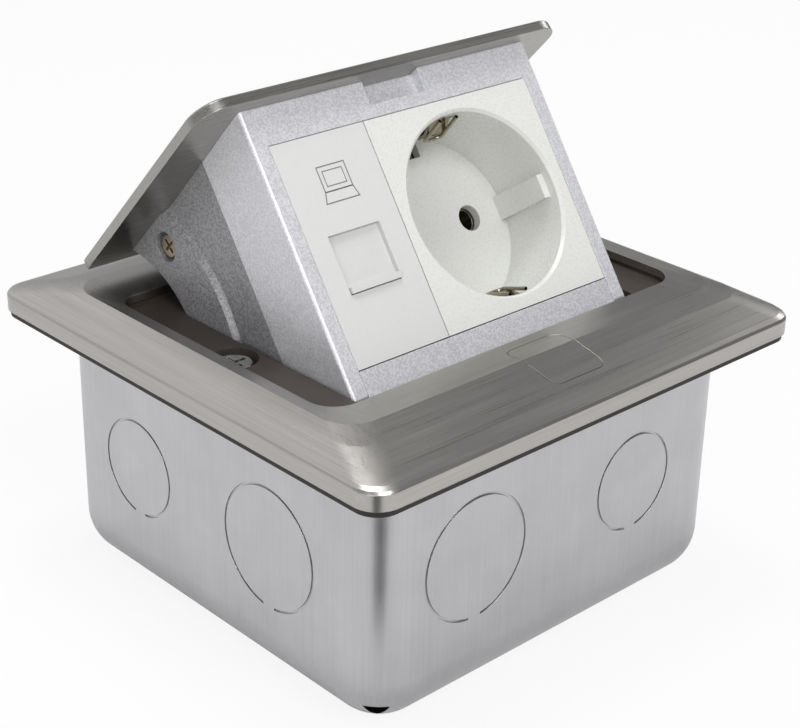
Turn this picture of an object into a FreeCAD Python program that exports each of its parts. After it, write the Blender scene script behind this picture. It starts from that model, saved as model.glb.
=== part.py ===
import FreeCAD, Part
import math
import os

# Pop-up floor socket box.  A steel back box is let into the floor.  A metal cover
# frame closes it, and a hinged unit with a data outlet and a mains socket swings up
# through the frame's opening when the release button in the front rim is pressed.
#
# Frame: the origin is the centre of the back box's underside, +Z is up, +X runs
# along the hinge axis and -Y is the front, where the button is.  The unit is drawn
# closed, with its lid level, and is then turned open about the hinge.  Millimetres.

V = FreeCAD.Vector
X_AXIS = V(1, 0, 0)
Y_AXIS = V(0, 1, 0)
Z_AXIS = V(0, 0, 1)

# ---- Clearances -----------------------------------------------------------------
running_gap = 0.05         # shaft in its bore, radial
slide_gap = 0.15           # sliding pieces, each side
seat_gap = 0.10            # pieces dropped into a recess, each side

# ---- Back box -------------------------------------------------------------------
box_width = 100.0          # outside, both ways
box_height = 56.0
box_wall = 1.2
box_round_r = 11.25        # upright corners and round the bottom
large_knockout_r = 13.3
small_knockout_r = 10.8
front_knockout_z = 32.3    # front and rear walls
front_large_x = -24.7
front_small_x = 20.0
side_knockout_z = 30.4     # left and right walls
side_large_y = -19.3
side_small_y = 22.5
score_width = 0.5
score_depth = 0.4
score_tab = 3.2            # unscored tab left at the foot of each knockout
floor_hole_r = 2.25
floor_hole_spacing = 60.0
lug_thickness = 1.5
lug_width = 13.0
lug_drop = 10.0            # welded leg of the lug
lug_below_rim = 6.0
earth_lug_x = -26.0
earth_lug_z = 16.0
earth_lug_width = 10.0
earth_lug_reach = 14.0     # from the rear wall
earth_lug_height = 10.5
earth_screw_out = 7.5      # from the rear wall
earth_head_r = 3.6
earth_head_h = 2.2
earth_screw_length = 6.0

# ---- Gasket and cover frame -----------------------------------------------------
gasket_thickness = 1.3
gasket_inset = 0.5         # from the frame's edge
frame_lap = 8.5            # frame beyond the box on each side
frame_corner_r = 5.5
frame_side_height = 3.2    # upright side band
shoulder_rise = 1.0        # rounded shoulder above the band
crest_rise = 7.9           # crest above the frame's underside
crest_x = 51.2             # half width of the crest line
crest_front_y = -43.0
crest_rear_y = 42.0
crest_corner_r = 7.0
dish_drop = 0.5            # crest down to the edge of the opening
lip_thickness = 1.7
skin = 2.2                 # wall of the hollow frame
opening_x = 48.0           # half width of the opening
opening_front_y = -35.0
opening_rear_y = 30.2
opening_front_r = 6.0
opening_rear_r = 4.0

# ---- Support frame under the cover ----------------------------------------------
ledge_gap = 0.3            # closed lid above the ledge
plate_thickness = 3.9
plate_inset = 0.6          # inside the crest line
seat_pad_y = 26.0          # half length of the pads that sit on the box's rim
passage_x = 38.45          # half width of the passage for the unit
passage_front_y = -32.6
passage_rear_y = 21.8
passage_r = 2.5
fixing_x = 43.6
fixing_y = -2.0
fixing_head_r = 4.2
fixing_head_h = 2.0
fixing_shank_r = 2.0
fixing_length = 15.0
counterbore_r = 4.8
counterbore_depth = 2.8
cover_screw_x = 44.0
cover_screw_inset = 3.6    # inside the crest line, front and rear
m3_r = 1.5
m3_head_r = 2.75
m3_head_h = 1.7

# ---- Hinge ----------------------------------------------------------------------
open_angle = 46.9          # from closed to the open stop
hinge_y = 39.0
hinge_drop = 9.6           # hinge axis below the box's rim
hinge_pin_r = 3.0
pin_head_r = 4.5
pin_head_h = 1.2
lug_plate_x = 35.0         # inner face of each hinge lug
lug_plate_t = 2.8
hinge_boss_r = 6.5
spring_wire_r = 0.7
spring_turns = 3.25
spring_length = 4.8
spring_leg = 17.0          # from the hinge to the hook under the arm
spring_leg_top = 61.0      # top of the leg that leans on the support frame

# ---- Swinging unit (drawn closed) -----------------------------------------------
lid_thickness = 2.2
lid_x = 47.5               # half width
lid_gap_front = 0.5
lid_gap_rear = 5.4         # room for the lid's rear edge to swing down
lid_front_r = 6.0
lid_rear_r = 0.8
lid_chamfer = 0.35
lid_screw_x = 20.0
lid_screw_y = -9.5
face_to_lid = 77.9         # angle between the socket face and the lid
face_setback = 3.3         # lid's front edge ahead of the face
face_x = 37.84             # half width of the unit
wall_taper = 0.04          # side walls lean in, per mm behind the face
skirt_depth = 17.6         # bezel's side skirts
unit_depth = 36.0          # socket face to the back of the rear cover
unit_wall = 2.0
side_wall_t = 3.0
bezel_wall = 2.2
bezel_front = 3.0
module_top = 7.5           # top bar of the bezel
module_height = 44.9
module_half_x = 34.2       # half width of the module opening
split_x = -10.7            # between the two modules
strip_height = 5.4
pocket_x = 7.3             # strike pocket in the top bar, half width
pocket_height = 4.9
pocket_depth = 2.4
cheek_inner_r = 23.9       # raised cheek, about the hinge axis
cheek_outer_r = 36.6
cheek_fillet = 3.4
cheek_end_angle = 205.0
cheek_screw_r = 30.7       # from the hinge axis
cheek_screw_angle = 160.1
cheek_head_r = 2.75
cheek_recess_r = 3.1
cheek_recess = 0.7
arm_thickness = 3.0
arm_half_width = 5.6
arm_band_inset = 0.6

# ---- Latch and button -----------------------------------------------------------
button_x = 7.1             # half width
button_front_y = -51.6
button_rear_y = -38.0
button_corner_r = 2.0
button_skin = 2.0
button_travel = 2.0
wing_x0 = 2.8              # wings that keep the button in the frame
wing_x1 = 9.2
wing_front_y = -51.0
wing_rear_y = -48.6
wing_drop = 0.3            # below the frame's inner face
wing_thickness = 1.0
bolt_x = 6.2               # half width
bolt_thickness = 1.9
bolt_tip_y = -29.9
bolt_end_y = -43.4
bolt_lift = 0.1            # bolt above the keeper
keeper_x = 12.5
keeper_thickness = 0.9
keeper_front_y = -46.6
keeper_rear_y = -33.2
tongue_x = 2.2             # seat of the button's spring
tongue_front_y = -52.4
wedge_x = 2.4
wedge_gap = 0.05           # between the wedge and the bolt's ramp
wedge_top_y = -42.0        # top of the bolt's ramp
wedge_width = 2.6
notch_x = 3.9              # side notches of the bolt, for its springs
notch_front_y = -41.6
notch_rear_y = -34.0
spring_tab = 0.8
latch_spring_r = 0.62
latch_spring_wire = 0.15
keeper_screw_x = 9.6
keeper_screw_y = -36.0
m25_r = 1.25
m25_head_r = 2.2
m25_head_h = 1.3
button_spring_y = -49.7
button_spring_r = 1.7
button_spring_wire = 0.25

# ---- Modules --------------------------------------------------------------------
module_plate = 2.9
module_recess = 0.1        # module faces behind the bezel's face
module_flange = 1.2
window_x0 = -29.1
window_x1 = -16.2
window_top = 26.9          # below the face's top edge
window_height = 11.8
shutter_lap = 0.9
shutter_thickness = 1.0
shutter_skin = 0.9
shutter_travel = 10.2
ledge_height = 1.3
ledge_proud = 0.6
jack_depth = 24.0
jack_lap = 1.5             # jack body behind the module, above and below the shutter
port_width = 11.8
port_height = 6.8
port_depth = 14.0
port_key_width = 6.0
port_key_height = 1.8
contact_count = 8
contact_pitch = 1.02
contact_width = 0.35
socket_cup_r = 19.4
socket_depth = 17.5
cup_wall = 1.6
cup_floor = 2.0
pin_pitch = 19.0
pin_hole_r = 2.8
rib_height = 1.7
rib_width = 5.2
rib_top = 2.6              # rib starts this far below the face
earth_slot_width = 6.4
earth_strap_width = 5.6
earth_strap_t = 0.7
earth_contact_r = 17.0     # contact crests, from the socket's axis
sleeve_r = 3.2
sleeve_bore_r = 2.4
sleeve_length = 9.8
base_width = 38.0
base_height = 30.0
base_depth = 11.5
terminal_r = 2.2
terminal_pitch = 11.0
boss_x = 27.5              # screw bosses for the rear cover
boss_half = 2.2
boss_length = 4.6
boss_top_down = 11.2       # below the face's top edge
boss_bottom_down = 51.0
grommet_x = -16.0
grommet_down = 42.0
grommet_r = 6.0
grommet_bore_r = 3.6
grommet_flange = 1.4

# ---- Places that follow ---------------------------------------------------------
rim_z = box_height
frame_z0 = rim_z + gasket_thickness
crest_z = frame_z0 + crest_rise
lip_z = crest_z - dish_drop
ceiling_z = lip_z - lip_thickness
lid_z0 = lip_z - lid_thickness
ledge_z = lid_z0 - ledge_gap
plate_z0 = ledge_z - plate_thickness
hinge_z = rim_z - hinge_drop
HINGE = V(0, hinge_y, hinge_z)
half_box = box_width / 2
half_frame = half_box + frame_lap
lug_top_z = rim_z - lug_below_rim
earth_lug_y = half_box - box_wall - earth_screw_out
lid_length = opening_rear_y - opening_front_y - lid_gap_front - lid_gap_rear
face_height = module_top + module_height + strip_height
face_top_y = opening_front_y + lid_gap_front + face_setback
lean = 90 - face_to_lid
socket_x = (split_x + module_half_x) / 2
module_mid = module_top + module_height / 2
module_back = module_recess + module_plate + module_flange
cavity_foot_z = frame_z0 + frame_side_height - 0.5
roof_slope = (ceiling_z - cavity_foot_z) / (half_frame - skin + crest_front_y)
wing_z1 = cavity_foot_z + roof_slope * (half_frame - skin + wing_front_y) - wing_drop
wing_z0 = wing_z1 - wing_thickness
latch_spring_x = (notch_x + bolt_x) / 2
arm_x1 = face_x - side_wall_t
arm_x0 = arm_x1 - arm_thickness
pin_end_x = arm_x0 - spring_length - 2.2
shutter_near = module_recess + shutter_skin
port_x = (window_x0 + window_x1) / 2
port_top = window_top + 1.6
jack_near = shutter_near + 0.05 + shutter_thickness + slide_gap


# ---- Shape helpers --------------------------------------------------------------
def outline(x0, x1, y0, y1, z, radii):
    """Rounded rectangle; radii are for the corners at (x1,y0) (x1,y1) (x0,y1) (x0,y0)."""
    corners = [(x1, y0, 1, -1), (x1, y1, 1, 1), (x0, y1, -1, 1), (x0, y0, -1, -1)]
    edges = []
    points = []
    for index, ((cx, cy, sx, sy), r) in enumerate(zip(corners, radii)):
        before = V(cx, cy - sy * r, z) if index % 2 else V(cx - sx * r, cy, z)
        after = V(cx - sx * r, cy, z) if index % 2 else V(cx, cy - sy * r, z)
        k = r * (1 - math.sqrt(0.5))
        points.append((before, V(cx - sx * k, cy - sy * k, z), after))
    for index, (before, middle, after) in enumerate(points):
        edges.append(Part.Arc(before, middle, after).toShape())
        edges.append(Part.LineSegment(after, points[(index + 1) % 4][0]).toShape())
    return Part.Wire(edges)


def square_outline(half, z, r):
    return outline(-half, half, -half, half, z, [r] * 4)


def prism(wire, height):
    return Part.Face(wire).extrude(V(0, 0, height))


def block(x0, x1, y0, y1, z0, z1):
    return Part.makeBox(x1 - x0, y1 - y0, z1 - z0, V(x0, y0, z0))


def rod(r, length, start, axis=Z_AXIS):
    return Part.makeCylinder(r, length, start, axis)


def side_profile(points, x0, x1):
    """Prism along X of a closed outline given as (y, z) points."""
    corners = [V(x0, y, z) for y, z in points]
    return Part.Face(Part.makePolygon(corners + corners[:1])).extrude(V(x1 - x0, 0, 0))


def sector(r0, r1, a0, a1, x0, x1):
    """Ring sector about the hinge axis, from angle a0 to a1 (degrees from +Y to +Z)."""
    def at(r, a):
        t = math.radians(a)
        return V(x0, hinge_y + r * math.cos(t), hinge_z + r * math.sin(t))
    mid = (a0 + a1) / 2
    edges = [Part.Arc(at(r1, a0), at(r1, mid), at(r1, a1)).toShape(),
             Part.LineSegment(at(r1, a1), at(r0, a1)).toShape(),
             Part.Arc(at(r0, a1), at(r0, mid), at(r0, a0)).toShape(),
             Part.LineSegment(at(r0, a0), at(r1, a0)).toShape()]
    return Part.Face(Part.Wire(edges)).extrude(V(x1 - x0, 0, 0))


def mirrored(shape):
    return shape.mirror(V(0, 0, 0), X_AXIS)


def pair(shape):
    return Part.makeCompound([shape, mirrored(shape)])


def fuse(first, *others):
    result = first.fuse(list(others)) if others else first
    return result.removeSplitter()


def bent_wire(points, r):
    """Spring wire along straight runs between points, six-sided."""
    first = points[1] - points[0]
    ring = Part.makePolygon([V(r * math.cos(t), r * math.sin(t), 0) for t in
                             (i * math.pi / 3 for i in range(7))])
    ring.Placement = FreeCAD.Placement(points[0], FreeCAD.Rotation(Z_AXIS, first))
    path = Part.Wire(Part.makePolygon(points))
    return path.makePipeShell([Part.Wire(ring.Edges)], True, False, 1)


def coil_points(r, turns, length, base, axis, sides=8):
    """Corners of a coil from base along axis, left-handed, starting on the first side axis."""
    turn = FreeCAD.Placement(base, FreeCAD.Rotation(Y_AXIS, Z_AXIS, X_AXIS, "ZXY"))
    if axis != X_AXIS:
        turn = FreeCAD.Placement(base, FreeCAD.Rotation(Z_AXIS, axis))
    count = int(round(sides * turns))
    corners = []
    for i in range(count + 1):
        t = -2 * math.pi * turns * i / count
        corners.append(turn.multVec(V(r * math.cos(t), r * math.sin(t), length * i / count)))
    return corners


def screw(head_r, head_h, shank_r, length, point, axis, drive=0.55):
    """Round-headed screw; point is under the head and axis runs along the shank."""
    crown = head_h * 0.4
    head = Part.makeCylinder(head_r, head_h - crown, V(0, 0, crown - head_h))
    top = Part.makeCone(head_r - crown, head_r, crown, V(0, 0, -head_h))
    head = head.fuse(top)
    body = head.fuse(many_sided(8, shank_r, 0, length)).removeSplitter()
    arm = head_r * drive
    slot = head_r * 0.11
    depth = head_h * 0.55
    for turn in (0, 90):
        bar = Part.makeBox(2 * arm, 2 * slot, depth, V(-arm, -slot, -head_h))
        bar.rotate(V(0, 0, 0), Z_AXIS, turn)
        body = body.cut(bar)
    body.Placement = FreeCAD.Placement(point, FreeCAD.Rotation(Z_AXIS, axis))
    return body


def hex_screw(head_r, head_h, shank_r, length, point, axis):
    """Small hexagon-headed screw; point is under the head and axis runs along the shank."""
    head = many_sided(6, head_r, -head_h, 0)
    body = head.fuse(many_sided(8, shank_r, 0, length)).removeSplitter()
    body.Placement = FreeCAD.Placement(point, FreeCAD.Rotation(Z_AXIS, axis))
    return body


def small_bore(r, length, start, axis=Z_AXIS):
    """Eight-sided hole for a small screw; r is to the flats."""
    bore = many_sided(8, r / math.cos(math.pi / 8), 0, length)
    bore.Placement = FreeCAD.Placement(start, FreeCAD.Rotation(Z_AXIS, axis))
    return bore


def many_sided(sides, r, z0, z1):
    corners = [V(r * math.cos(i * 2 * math.pi / sides), r * math.sin(i * 2 * math.pi / sides), z0)
               for i in range(sides + 1)]
    return Part.Face(Part.makePolygon(corners)).extrude(V(0, 0, z1 - z0))


def strip(points, thickness, x0, x1):
    """Bent strip of even thickness along (v, w) points, as a prism along X."""
    def offset(side):
        moved = []
        for i, (a, b) in enumerate(points):
            before = points[max(i - 1, 0)]
            after = points[min(i + 1, len(points) - 1)]
            da = after[0] - before[0]
            db = after[1] - before[1]
            n = math.hypot(da, db)
            moved.append((a - side * thickness / 2 * db / n, b + side * thickness / 2 * da / n))
        return moved
    return side_profile(offset(1) + offset(-1)[::-1], x0, x1)


# ---- The socket face's own frame ------------------------------------------------
# In it x is the row's x, y runs up the face from its top edge (so it is negative on
# the face) and z points out of the face.
FACE = FreeCAD.Placement(V(0, face_top_y, lid_z0), FreeCAD.Rotation(X_AXIS, 90 + lean))


def on_face(shape):
    placed = shape.copy()
    placed.Placement = FACE.multiply(placed.Placement)
    return placed


def face_block(x0, x1, top, bottom, near, far):
    """Block on the face: top and bottom below the top edge, near and far behind it."""
    return on_face(block(x0, x1, -bottom, -top, -far, -near))


def face_rod(r, x, down, near, far):
    return on_face(rod(r, far - near, V(x, -down, -far)))


def face_bore(r, x, down, near, far):
    return on_face(small_bore(r, far - near, V(x, -down, -far)))


def opened(shape):
    turned = shape.copy()
    turned.rotate(HINGE, X_AXIS, -open_angle)
    return turned


def below_lid(shape):
    """Trim to the space under the closed lid."""
    return shape.cut(block(-half_box, half_box, -half_box, half_box, lid_z0, lid_z0 + half_box))


# ---- Back box -------------------------------------------------------------------
def tub(inset):
    """Solid of the drawn box, moved in by inset: uprights and base edges share one rounding."""
    half = half_box - inset
    body = block(-half, half, -half, half, inset, frame_z0)
    rounded = [e for e in body.Edges if e.BoundBox.ZMin < frame_z0 - 1]
    return body.makeFillet(box_round_r - inset, rounded)


def hollow():
    """Inside of the box: three rounded prisms in common, so its corners need no spheres."""
    half = half_box - box_wall
    r = box_round_r - box_wall
    space = prism(square_outline(half, box_wall, r), frame_z0)
    for turn in (0, 90):
        side = prism(square_outline(half, -half_box, r), box_width)
        side.rotate(V(0, 0, 0), X_AXIS, 90)
        side.translate(V(0, 0, half + box_wall))
        side.rotate(V(0, 0, 0), Z_AXIS, turn)
        space = space.common(side)
    return space


def knockout_score(r, along, z):
    """Scored ring in the front wall, open over the tab at its foot."""
    start = V(along, -half_box, z)
    ring = rod(r, score_depth, start, Y_AXIS).cut(rod(r - score_width, score_depth, start, Y_AXIS))
    tab = block(along - score_tab / 2, along + score_tab / 2, -half_box, -half_box + score_depth,
                z - r - score_width, z)
    return ring.cut(tab)


def back_box():
    box = tub(0).cut(hollow())
    rings = [(large_knockout_r, front_large_x, front_knockout_z, 0),
             (small_knockout_r, front_small_x, front_knockout_z, 0),
             (large_knockout_r, -side_large_y, side_knockout_z, -90),
             (small_knockout_r, -side_small_y, side_knockout_z, -90)]
    for r, along, z, turn in rings:
        for half_turn in (0, 180):
            ring = knockout_score(r, along, z)
            ring.rotate(V(0, 0, 0), Z_AXIS, turn + half_turn)
            box = box.cut(ring)
    for side in (-1, 1):
        box = box.cut(rod(floor_hole_r, box_wall, V(side * floor_hole_spacing / 2, 0, 0)))
    return box


def box_lugs():
    wall_x = half_box - box_wall
    inner_x = passage_x + 2.4
    y0 = fixing_y - lug_width / 2
    y1 = fixing_y + lug_width / 2
    top = block(inner_x, wall_x, y0, y1, lug_top_z - lug_thickness, lug_top_z)
    leg = block(wall_x - lug_thickness, wall_x, y0, y1, lug_top_z - lug_drop, lug_top_z)
    bore = small_bore(fixing_shank_r, lug_thickness, V(fixing_x, fixing_y, lug_top_z - lug_thickness))
    lug = top.fuse(leg).cut(bore)
    return pair(lug.removeSplitter())


def earth_lug():
    wall_y = half_box - box_wall
    x0 = earth_lug_x - earth_lug_width / 2
    x1 = earth_lug_x + earth_lug_width / 2
    z0 = earth_lug_z - lug_thickness
    foot = block(x0, x1, wall_y - lug_thickness, wall_y, z0, z0 + earth_lug_height)
    shelf = block(x0, x1, wall_y - earth_lug_reach, wall_y, z0, earth_lug_z)
    return fuse(foot, shelf).cut(small_bore(fixing_shank_r, lug_thickness, V(earth_lug_x, earth_lug_y, z0)))


def earth_screw():
    seat = V(earth_lug_x, earth_lug_y, earth_lug_z)
    return hex_screw(earth_head_r, earth_head_h, fixing_shank_r, earth_screw_length, seat, V(0, 0, -1))


# ---- Gasket and cover frame -----------------------------------------------------
def gasket():
    half = half_frame - gasket_inset
    ring = prism(square_outline(half, rim_z, frame_corner_r - gasket_inset), gasket_thickness)
    inner = square_outline(half_box + seat_gap, rim_z, box_round_r + seat_gap)
    return ring.cut(prism(inner, gasket_thickness))


def rim_outline(t, z):
    """Outline between the frame's edge (t = 0) and the crest line (t = 1)."""
    x = half_frame + t * (crest_x - half_frame)
    y0 = -half_frame + t * (crest_front_y + half_frame)
    y1 = half_frame + t * (crest_rear_y - half_frame)
    r = frame_corner_r + t * (crest_corner_r - frame_corner_r)
    return outline(-x, x, y0, y1, z, [r] * 4)


def opening_outline(z, grow=0.0):
    front_r = opening_front_r + grow
    rear_r = opening_rear_r + grow
    return outline(-opening_x - grow, opening_x + grow, opening_front_y - grow,
                   opening_rear_y + grow, z, [front_r, rear_r, rear_r, front_r])


def dish_outline(t, z):
    """Outline between the crest line (t = 0) and the opening (t = 1)."""
    def mix(a, b):
        return a + t * (b - a)
    front_r = mix(crest_corner_r, opening_front_r)
    rear_r = mix(crest_corner_r, opening_rear_r)
    x = mix(crest_x, opening_x)
    return outline(-x, x, mix(crest_front_y, opening_front_y), mix(crest_rear_y, opening_rear_y),
                   z, [front_r, rear_r, rear_r, front_r])


def frame_body():
    """Solid dome of the cover frame, before it is hollowed and opened."""
    band_z = frame_z0 + frame_side_height
    band = prism(square_outline(half_frame, frame_z0, frame_corner_r), frame_side_height)
    shoulder = [rim_outline(0.0, band_z), rim_outline(0.025, band_z + 0.55 * shoulder_rise),
                rim_outline(0.09, band_z + shoulder_rise)]
    foot_z = band_z + shoulder_rise
    rise = crest_z - foot_z
    slope = [rim_outline(0.09, foot_z), rim_outline(0.65, foot_z + 0.68 * rise), rim_outline(1.0, crest_z)]
    dish = [dish_outline(1.0, lip_z), rim_outline(1.0, crest_z)]
    body = band.fuse([Part.makeLoft(shoulder, True, True), Part.makeLoft(slope, True, True)])
    return body.cut(Part.makeLoft(dish, True, True)).removeSplitter()


def cut_corner_outline(x, y0, y1, z, r):
    """Rectangle of half width x; each corner is cut at 45 degrees, along the middle of an arc of radius r."""
    cut = r * (2 - math.sqrt(2))
    half = [(x - cut, y0), (x, y0 + cut), (x, y1 - cut), (x - cut, y1)]
    corners = [V(a, b, z) for a, b in half] + [V(-a, b, z) for a, b in half[::-1]]
    return Part.makePolygon(corners + corners[:1])


def frame_cavity():
    half = half_frame - skin
    low = cut_corner_outline(half, -half, half, frame_z0, frame_corner_r - skin)
    step = cut_corner_outline(half, -half, half, cavity_foot_z, frame_corner_r - skin)
    top = cut_corner_outline(crest_x, crest_front_y, crest_rear_y, ceiling_z, crest_corner_r)
    sides = prism(low, cavity_foot_z - frame_z0)
    return sides.fuse(Part.makeLoft([step, top], True, True))


def button_outline(z, grow=0.0):
    r = button_corner_r + grow
    return outline(-button_x - grow, button_x + grow, button_front_y - grow, button_rear_y + grow,
                   z, [r] * 4)


def cover_screw_points():
    front = crest_front_y + cover_screw_inset
    rear = crest_rear_y - cover_screw_inset
    return [(sx * cover_screw_x, y) for sx in (-1, 1) for y in (front, rear)]


def cover_frame(body):
    cover = body.cut(frame_cavity())
    cover = cover.cut(prism(opening_outline(frame_z0), crest_rise + 1))
    cover = cover.cut(prism(button_outline(frame_z0, slide_gap), crest_rise + 1))
    for x, y in cover_screw_points():
        cover = cover.cut(small_bore(m3_r, 1.4, V(x, y, ceiling_z)))
    return cover


def release_button(body):
    cap = body.common(prism(button_outline(frame_z0), crest_rise + 1))
    lowered = body.copy()
    lowered.translate(V(0, 0, -button_skin))
    cap = cap.cut(lowered)
    top_z = plate_z0 + bolt_lift + bolt_thickness
    stem = wedge_shape(wedge_gap, top_z, crest_z - button_skin + 0.5)
    wings = []
    for side in (-1, 1):
        low = min(side * wing_x0, side * wing_x1)
        wings.append(block(low, low + wing_x1 - wing_x0, wing_front_y, wing_rear_y, wing_z0, wing_z1))
        low = min(side * wing_x0, side * (button_x - 0.5))
        web = block(low, low + button_x - 0.5 - wing_x0, wing_front_y, wing_rear_y, wing_z0, wing_z1 + 1.6)
        wings.append(web.common(body))
    return fuse(cap, stem, *wings)


def wedge_shape(gap, bolt_top, roof):
    """Button wedge that bears on the bolt's ramp, from its foot up to the roof."""
    top_y = wedge_top_y + gap * math.sqrt(2)
    back_y = wedge_top_y + wedge_width
    foot = bolt_top - bolt_thickness + 0.5
    ramp = [(top_y - 1.0, bolt_top + 1.0), (top_y + bolt_top - foot, foot)]
    return side_profile([(top_y - 1.0, roof)] + ramp + [(back_y, foot), (back_y, roof)], -wedge_x, wedge_x)


# ---- Support frame, latch and screws --------------------------------------------
def support_frame():
    inset = plate_inset
    plate = outline(-crest_x + inset, crest_x - inset, crest_front_y + inset, crest_rear_y - inset,
                    plate_z0, [crest_corner_r - inset] * 4)
    body = prism(plate, ceiling_z - plate_z0)
    body = body.cut(prism(opening_outline(ledge_z, 0.3), ceiling_z - ledge_z))
    passage = outline(-passage_x, passage_x, passage_front_y, passage_rear_y, plate_z0, [passage_r] * 4)
    body = body.cut(prism(passage, ceiling_z))
    counterbore_floor = plate_thickness - counterbore_depth
    for side in (-1, 1):
        at = V(side * fixing_x, fixing_y, plate_z0)
        body = body.cut(small_bore(fixing_shank_r + slide_gap, plate_thickness, at))
        body = body.cut(rod(counterbore_r, counterbore_depth, at + V(0, 0, counterbore_floor)))
    for x, y in cover_screw_points():
        body = body.cut(small_bore(m3_r + slide_gap, ceiling_z - plate_z0, V(x, y, plate_z0)))
    channel_top = plate_z0 + bolt_lift + bolt_thickness + slide_gap
    body = body.cut(block(-bolt_x - slide_gap, bolt_x + slide_gap, crest_front_y, passage_front_y + 1,
                          plate_z0 - 1, channel_top))
    button_well = block(-button_x - 0.6, button_x + 0.6, crest_front_y, button_rear_y + 0.6, plate_z0 - 1,
                        ceiling_z + 1)
    body = body.cut(button_well)
    for side in (-1, 1):
        body = body.cut(small_bore(m25_r, 3.0, V(side * keeper_screw_x, keeper_screw_y, plate_z0)))
    pad = block(half_box - 2 * box_wall, crest_x - inset, -seat_pad_y, seat_pad_y, frame_z0, plate_z0)
    lugs = [pair(pad)]
    for side in (-1, 1):
        x0 = min(side * lug_plate_x, side * (lug_plate_x + lug_plate_t))
        ear = block(x0, x0 + lug_plate_t, hinge_y - hinge_boss_r, hinge_y + hinge_boss_r, hinge_z, plate_z0)
        ear = ear.fuse(rod(hinge_boss_r, lug_plate_t, V(x0, hinge_y, hinge_z), X_AXIS))
        lugs.append(ear.cut(rod(hinge_pin_r, lug_plate_t, V(x0, hinge_y, hinge_z), X_AXIS)))
        back_y = hinge_y + hinge_boss_r
        shelf = block(x0, x0 + lug_plate_t, crest_rear_y - 2, back_y, plate_z0, plate_z0 + 1.6)
        lugs.append(shelf)
    return fuse(body, *lugs)


def cover_screws():
    length = ceiling_z - plate_z0 + 1.3
    return Part.makeCompound([hex_screw(m3_head_r, m3_head_h, m3_r, length, V(x, y, plate_z0), Z_AXIS)
                              for x, y in cover_screw_points()])


def fixing_screws():
    seat = ledge_z - counterbore_depth
    return pair(screw(fixing_head_r, fixing_head_h, fixing_shank_r, fixing_length,
                      V(fixing_x, fixing_y, seat), V(0, 0, -1), 0.62))


def latch_slide():
    z0 = plate_z0 + bolt_lift
    z1 = z0 + bolt_thickness
    nose = bolt_thickness * 0.6
    tip = bolt_tip_y
    points = [(bolt_end_y, z0), (tip, z0), (tip, z1 - nose), (tip - nose, z1), (bolt_end_y, z1)]
    bolt = side_profile(points, -bolt_x, bolt_x)
    far = wedge_top_y + wedge_width + button_travel + 0.3
    window = side_profile([(wedge_top_y, z1), (wedge_top_y + bolt_thickness, z0), (far, z0), (far, z1)],
                          -wedge_x - slide_gap, wedge_x + slide_gap)
    notch = block(notch_x, bolt_x, notch_front_y, notch_rear_y, z0, z1)
    return bolt.cut(window).cut(pair(notch))


def latch_springs():
    y0 = notch_front_y + slide_gap + spring_tab + latch_spring_wire + 0.05
    length = notch_rear_y - latch_spring_wire - 0.05 - y0
    z = plate_z0 + bolt_lift + bolt_thickness / 2
    points = coil_points(latch_spring_r, 4, length, V(latch_spring_x, y0, z), Y_AXIS, 6)
    return pair(bent_wire(points, latch_spring_wire))


def latch_keeper():
    z0 = plate_z0 - keeper_thickness
    plate = block(-keeper_x, keeper_x, keeper_front_y, keeper_rear_y, z0, plate_z0)
    plate = plate.fuse(block(-tongue_x, tongue_x, tongue_front_y, keeper_front_y, z0, plate_z0))
    tab_y = notch_front_y + slide_gap
    tab = block(notch_x + slide_gap, bolt_x - 0.1, tab_y, tab_y + spring_tab, z0, plate_z0 + bolt_thickness)
    plate = plate.fuse(pair(tab))
    back_y = wedge_top_y + wedge_width + 0.5
    plate = plate.cut(block(-wedge_x - 0.5, wedge_x + 0.5, wedge_top_y - 2.5, back_y, z0, plate_z0))
    for side in (-1, 1):
        at = V(side * keeper_screw_x, keeper_screw_y, z0)
        plate = plate.cut(small_bore(m25_r + slide_gap, keeper_thickness, at))
    return plate.removeSplitter()


def keeper_screws():
    return pair(hex_screw(m25_head_r, m25_head_h, m25_r, keeper_thickness + 2.8,
                      V(keeper_screw_x, keeper_screw_y, plate_z0 - keeper_thickness), Z_AXIS))


def button_spring(body):
    y = button_spring_y - button_spring_r - button_spring_wire
    sight = Part.LineSegment(V(0, y, frame_z0), V(0, y, crest_z + 1)).toShape().common(body)
    roof = max(vertex.Point.z for vertex in sight.Vertexes) - button_skin
    base = V(0, button_spring_y, plate_z0 + button_spring_wire + 0.05)
    points = coil_points(button_spring_r, 2.5, roof - button_spring_wire - 0.1 - base.z, base, Z_AXIS)
    return bent_wire(points, button_spring_wire)


# ---- Hinge ----------------------------------------------------------------------
def hinge_pins():
    inner = pin_end_x
    outer = lug_plate_x + lug_plate_t
    pin = rod(hinge_pin_r, outer - inner, V(inner, hinge_y, hinge_z), X_AXIS)
    head = many_sided(6, pin_head_r, 0, pin_head_h)
    head.Placement = FreeCAD.Placement(V(outer, hinge_y, hinge_z), FreeCAD.Rotation(Z_AXIS, X_AXIS))
    return pair(fuse(pin, head))


def torsion_springs():
    """Springs that raise the unit: one leg on the support frame, one under the arm."""
    r = (hinge_pin_r + 0.1 + spring_wire_r) / math.cos(math.radians(22.5))
    x1 = arm_x0 - 0.1 - spring_wire_r
    x0 = x1 - spring_length
    rear_edge = crest_rear_y - plate_inset
    leg_top = V(x0, rear_edge + spring_wire_r + 0.1, spring_leg_top)
    hook = V(x1, hinge_y - spring_leg, hinge_z - arm_half_width - spring_wire_r - 0.1)
    coil = coil_points(r, spring_turns, spring_length, V(x0, hinge_y, hinge_z), X_AXIS, 8)
    points = [leg_top] + coil + [hook, hook + V(arm_thickness, 0, 0)]
    return pair(bent_wire(points, spring_wire_r))


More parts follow.
